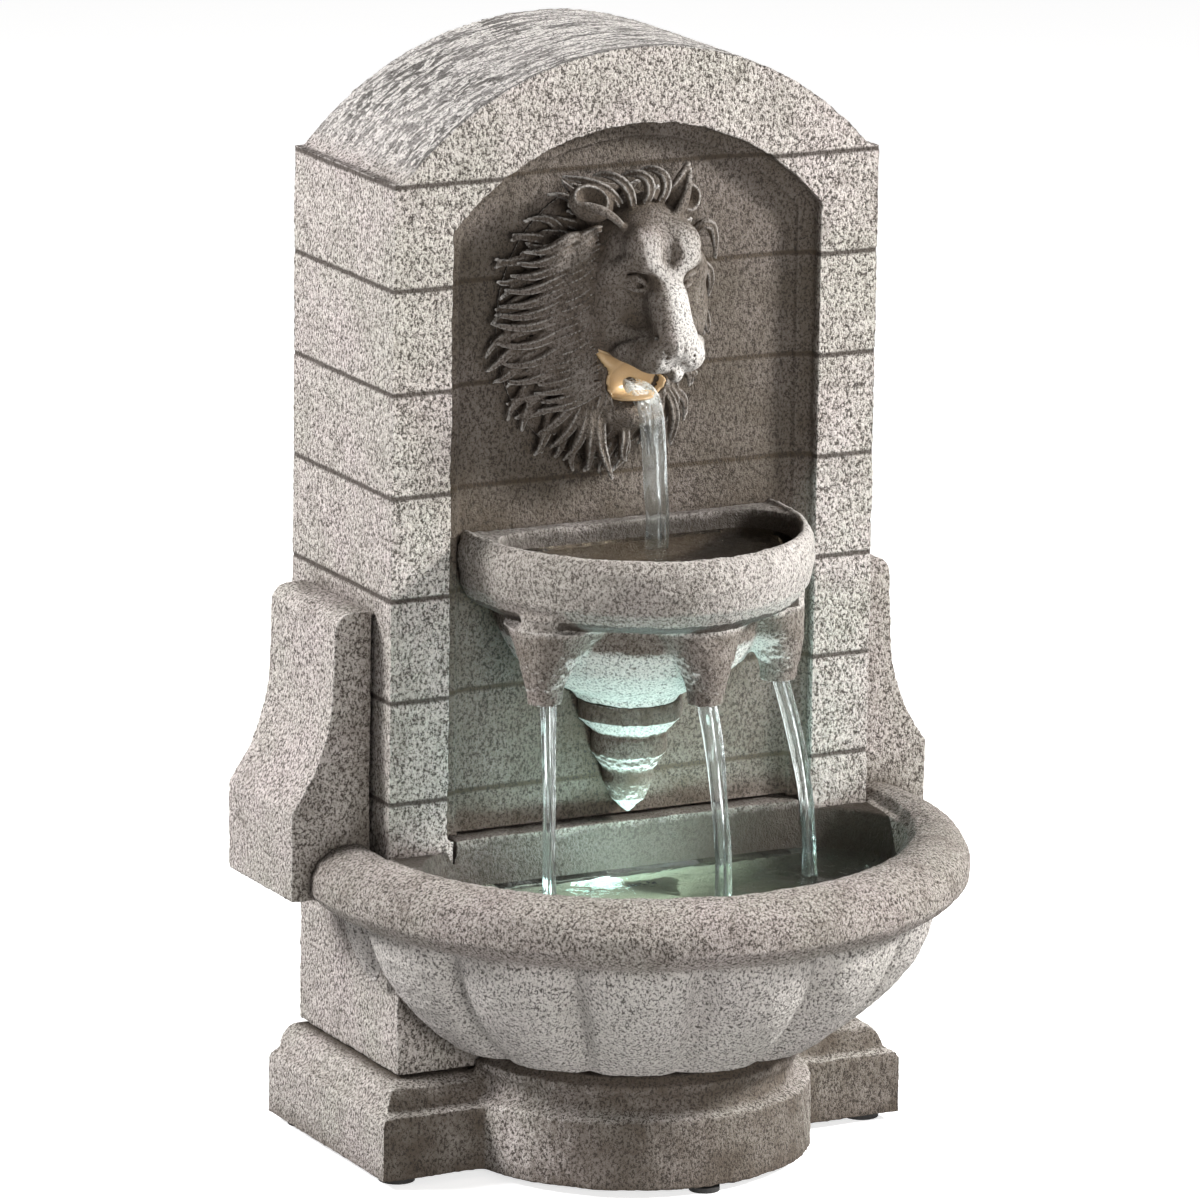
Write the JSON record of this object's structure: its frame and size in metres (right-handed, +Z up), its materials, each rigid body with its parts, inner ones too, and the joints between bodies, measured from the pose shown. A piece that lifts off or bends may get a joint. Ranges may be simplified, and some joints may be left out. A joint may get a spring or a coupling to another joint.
{
  "type": "wall fountain",
  "caption": "Free-standing cast-stone wall fountain with a lion mask, an upper spout bowl, a gadrooned basin, a pump and a lamp.",
  "frame": {"origin": "on the ground, under the middle of the fountain's outer box", "axes": "+Z up, -Y towards the viewer in front, +X to the viewer's right"},
  "size_m": [0.508, 0.4039, 0.795],
  "materials": {
    "cast_stone": "matt, pitted and weathered",
    "black_plastic": "moulded",
    "door_plastic": "stone-coloured, moulded",
    "amber_plastic": "glossy",
    "dial_plastic": "moulded",
    "white_plastic": "moulded",
    "hose_plastic": "translucent",
    "lens_clear": "clear",
    "circuit_board": "lacquered",
    "rubber": "matt",
    "steel": "satin",
    "ceramic": "polished"
  },
  "bodies": {
    "fountain": {"bowl_bolt_left": "steel", "bowl_bolt_right": "steel", "bowl_pendant": "cast_stone", "buttress_bolt_left_lower": "steel", "buttress_bolt_left_upper": "steel", "buttress_bolt_right_lower": "steel", "buttress_bolt_right_upper": "steel", "cable_gland": "rubber", "door_hinge_pin_lower": "steel", "door_hinge_pin_upper": "steel", "foot_back_left": "rubber", "foot_back_right": "rubber", "foot_basin": "rubber", "foot_front_left": "rubber", "foot_front_right": "rubber", "gland_nut": "black_plastic", "hose_clamp_lower": "steel", "hose_clamp_upper": "steel", "impeller_shaft": "ceramic", "lamp_bezel": "steel", "lamp_board": "circuit_board", "lamp_housing": "black_plastic", "lamp_lens": "lens_clear", "left_buttress": "cast_stone", "lion_mask": "cast_stone", "lower_basin": "cast_stone", "mask_bolt_left": "steel", "mask_bolt_right": "steel", "mouth_spout": "amber_plastic", "pedestal": "cast_stone", "pendant_bolt": "steel", "plinth": "cast_stone", "pump_cover": "black_plastic", "pump_housing": "black_plastic", "right_buttress": "cast_stone", "riser_hose": "hose_plastic", "spout_nut": "black_plastic", "spout_washer": "rubber", "suction_cup_back_left": "rubber", "suction_cup_back_right": "rubber", "suction_cup_front_left": "rubber", "suction_cup_front_right": "rubber", "sump_grille": "black_plastic", "upper_bowl": "cast_stone", "wall_column": "cast_stone"},
    "door": {"service_door": "door_plastic"},
    "latch": {"latch_knob": "black_plastic", "latch_cam": "steel"},
    "impeller": {"impeller": "white_plastic"},
    "flow_dial": {"flow_dial": "dial_plastic"}
  },
  "joints": [
    {"name": "door_hinge", "type": "hinge", "parent": "fountain", "child": "door", "pos_m": [-0.0955, 0.195, 0.375], "axis": [0, 0, 1], "range_deg": [0, 105]},
    {"name": "latch_turn", "type": "hinge", "parent": "door", "child": "latch", "pos_m": [0.0855, 0.1925, 0.375], "axis": [0, 1, 0], "range_deg": [0, 90]},
    {"name": "impeller_spin", "type": "hinge", "parent": "fountain", "child": "impeller", "pos_m": [-0.012, 0.1255, 0.138], "axis": [1, 0, 0], "continuous": true},
    {"name": "flow_dial_turn", "type": "hinge", "parent": "fountain", "child": "flow_dial", "pos_m": [-0.012, 0.1255, 0.138], "axis": [1, 0, 0], "range_deg": [0, 90]}
  ]
}
